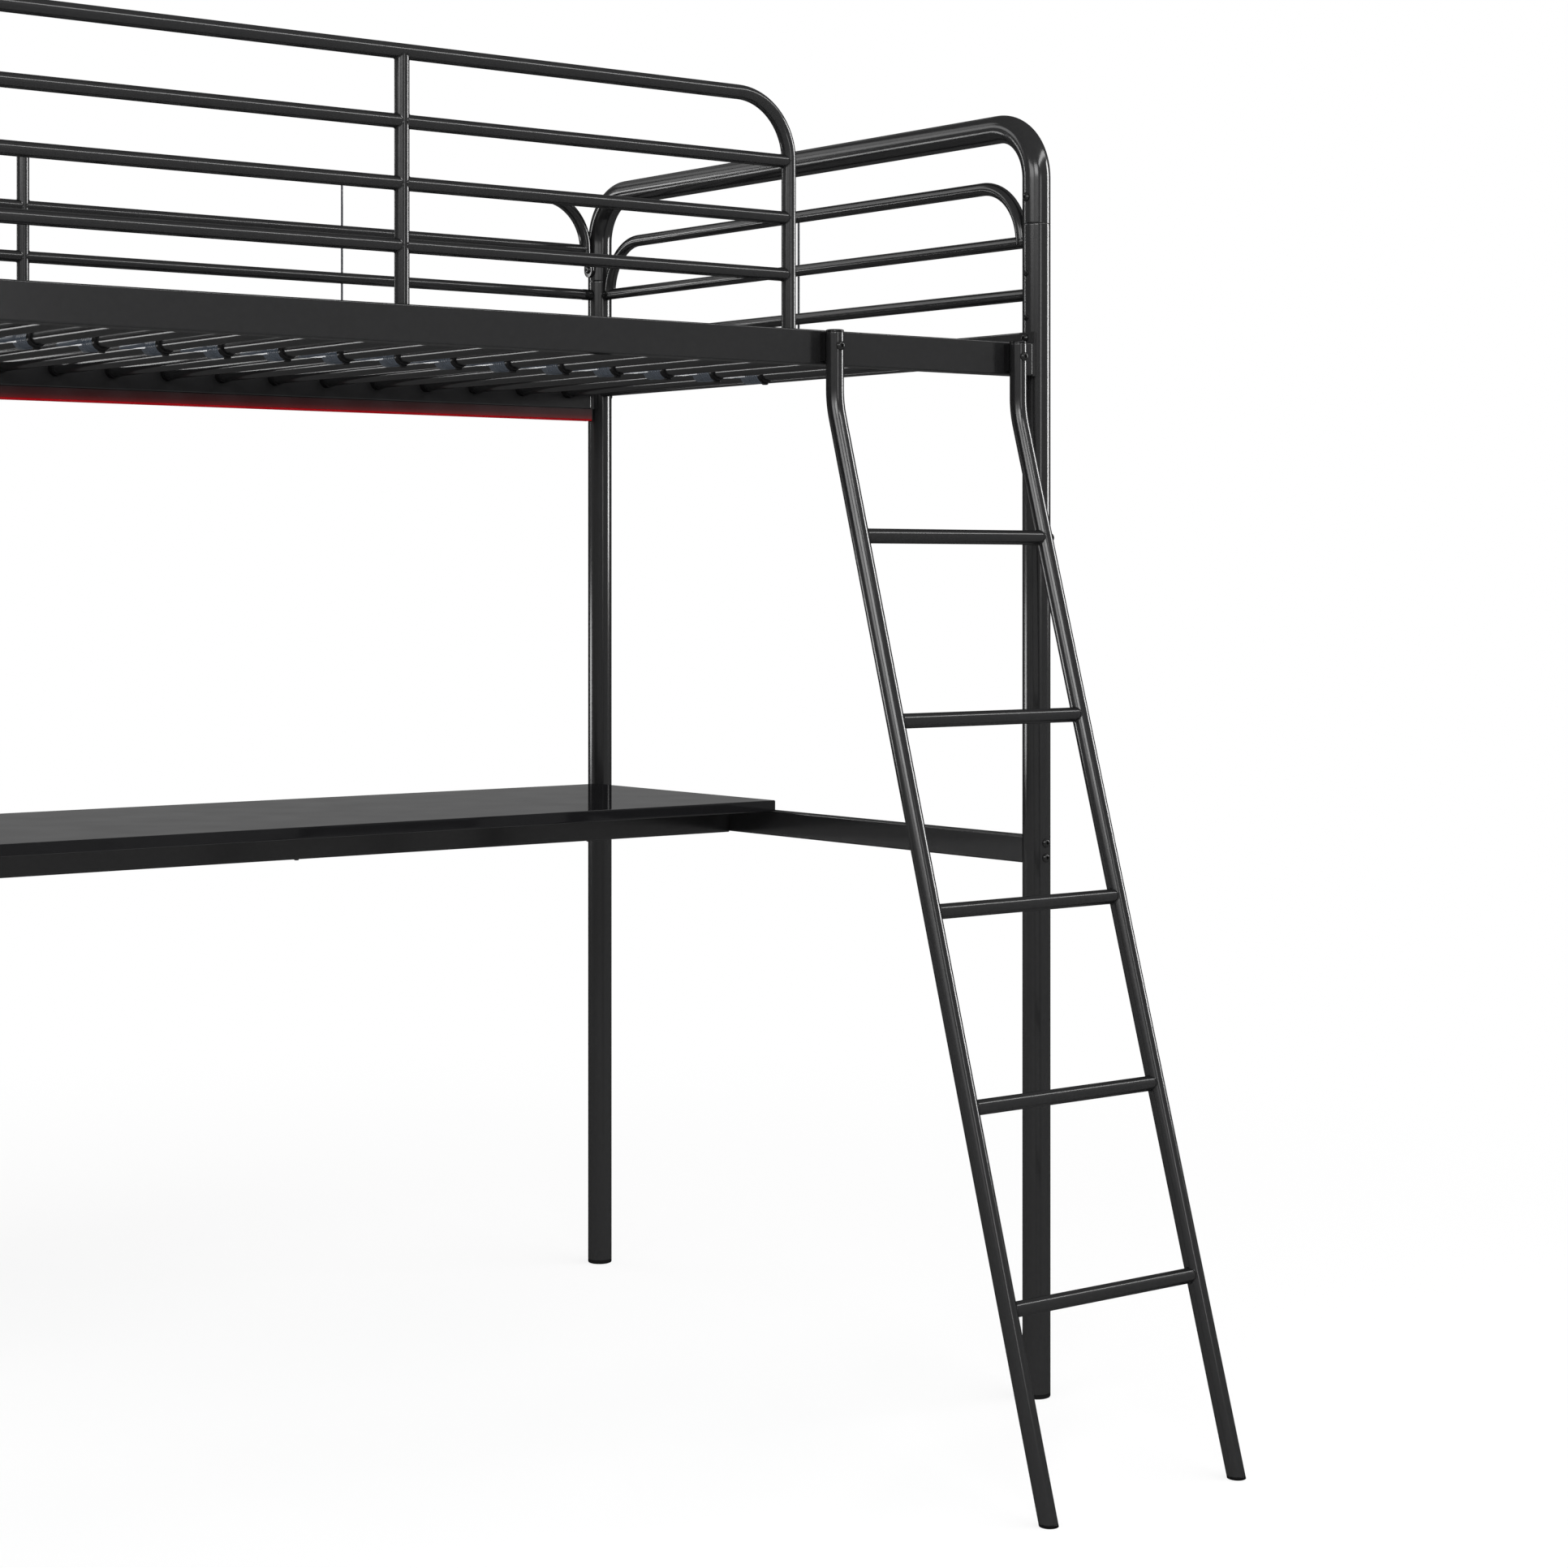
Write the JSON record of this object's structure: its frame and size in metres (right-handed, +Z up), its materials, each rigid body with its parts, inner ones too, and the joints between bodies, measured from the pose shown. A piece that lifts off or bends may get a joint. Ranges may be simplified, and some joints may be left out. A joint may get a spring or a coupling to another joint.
{
  "type": "loft bed with desk",
  "caption": "Tall metal loft bed: round posts and arched ends carry a slatted platform with guards, over a full-length desk, with a leaning ladder and a light bar.",
  "frame": {"origin": "on the floor, at the middle of the whole object's outline (bottom centre of its box)", "axes": "+X along the bed towards the ladder's end, +Y from the ladder's side towards the desk's back, +Z up"},
  "size_m": [2.0346, 1.5082, 1.7441],
  "materials": {
    "frame_steel": "charcoal black powder coat, semi-gloss",
    "rod_steel": "blue-grey coat, satin",
    "black_plastic": "black moulded plastic",
    "grey_plastic": "blue-grey moulded plastic",
    "bolt_steel": "black-zinc fasteners",
    "desk_board": "wood-based board with a glossy black laminate",
    "light_red": "red translucent diffuser, lit"
  },
  "bodies": {
    "root": {"post_front_left": "frame_steel", "post_front_right": "frame_steel", "post_back_left": "frame_steel", "post_back_right": "frame_steel", "post_foot_caps": "black_plastic", "end_arch_left": "frame_steel", "end_arch_right": "frame_steel", "joint_sleeves": "frame_steel", "end_bow_left": "frame_steel", "end_bow_right": "frame_steel", "end_bars_left": "frame_steel", "end_bars_right": "frame_steel", "end_tie_rods": "rod_steel", "cross_rail_left": "frame_steel", "cross_rail_right": "frame_steel", "side_rail_front": "frame_steel", "side_rail_back": "frame_steel", "rail_saddles": "frame_steel", "slat_tubes_front": "frame_steel", "slat_tubes_back": "frame_steel", "slat_clips": "grey_plastic", "slat_collars": "black_plastic", "slat_end_caps": "black_plastic", "front_guard_top": "frame_steel", "front_guard_upright": "frame_steel", "front_guard_bars": "frame_steel", "back_guard_top": "frame_steel", "back_guard_upright": "frame_steel", "back_guard_bars": "frame_steel", "back_guard_tie_rods": "rod_steel", "guard_end_tabs": "frame_steel", "guard_bar_ferrules": "black_plastic", "ladder_rail_left": "frame_steel", "ladder_rail_right": "frame_steel", "ladder_rungs": "frame_steel", "ladder_foot_caps": "black_plastic", "ladder_top_caps": "black_plastic", "ladder_spacers": "black_plastic", "rung_insert": "bolt_steel", "desk_top": "desk_board", "desk_beam_front": "frame_steel", "desk_beam_back": "frame_steel", "desk_end_rail_left": "frame_steel", "desk_end_rail_right": "frame_steel", "desk_rail_plugs": "black_plastic", "light_channel": "frame_steel", "light_diffuser": "light_red", "light_end_caps": "black_plastic", "light_screws": "bolt_steel", "desk_screws": "bolt_steel", "desk_beam_bolts": "bolt_steel", "desk_post_bolts": "bolt_steel", "rail_bolts": "bolt_steel", "rail_nuts": "bolt_steel", "bracket_bolts": "bolt_steel", "joint_bolts": "bolt_steel", "ladder_bolts": "bolt_steel", "post_plugs": "black_plastic"}
  },
  "joints": []
}
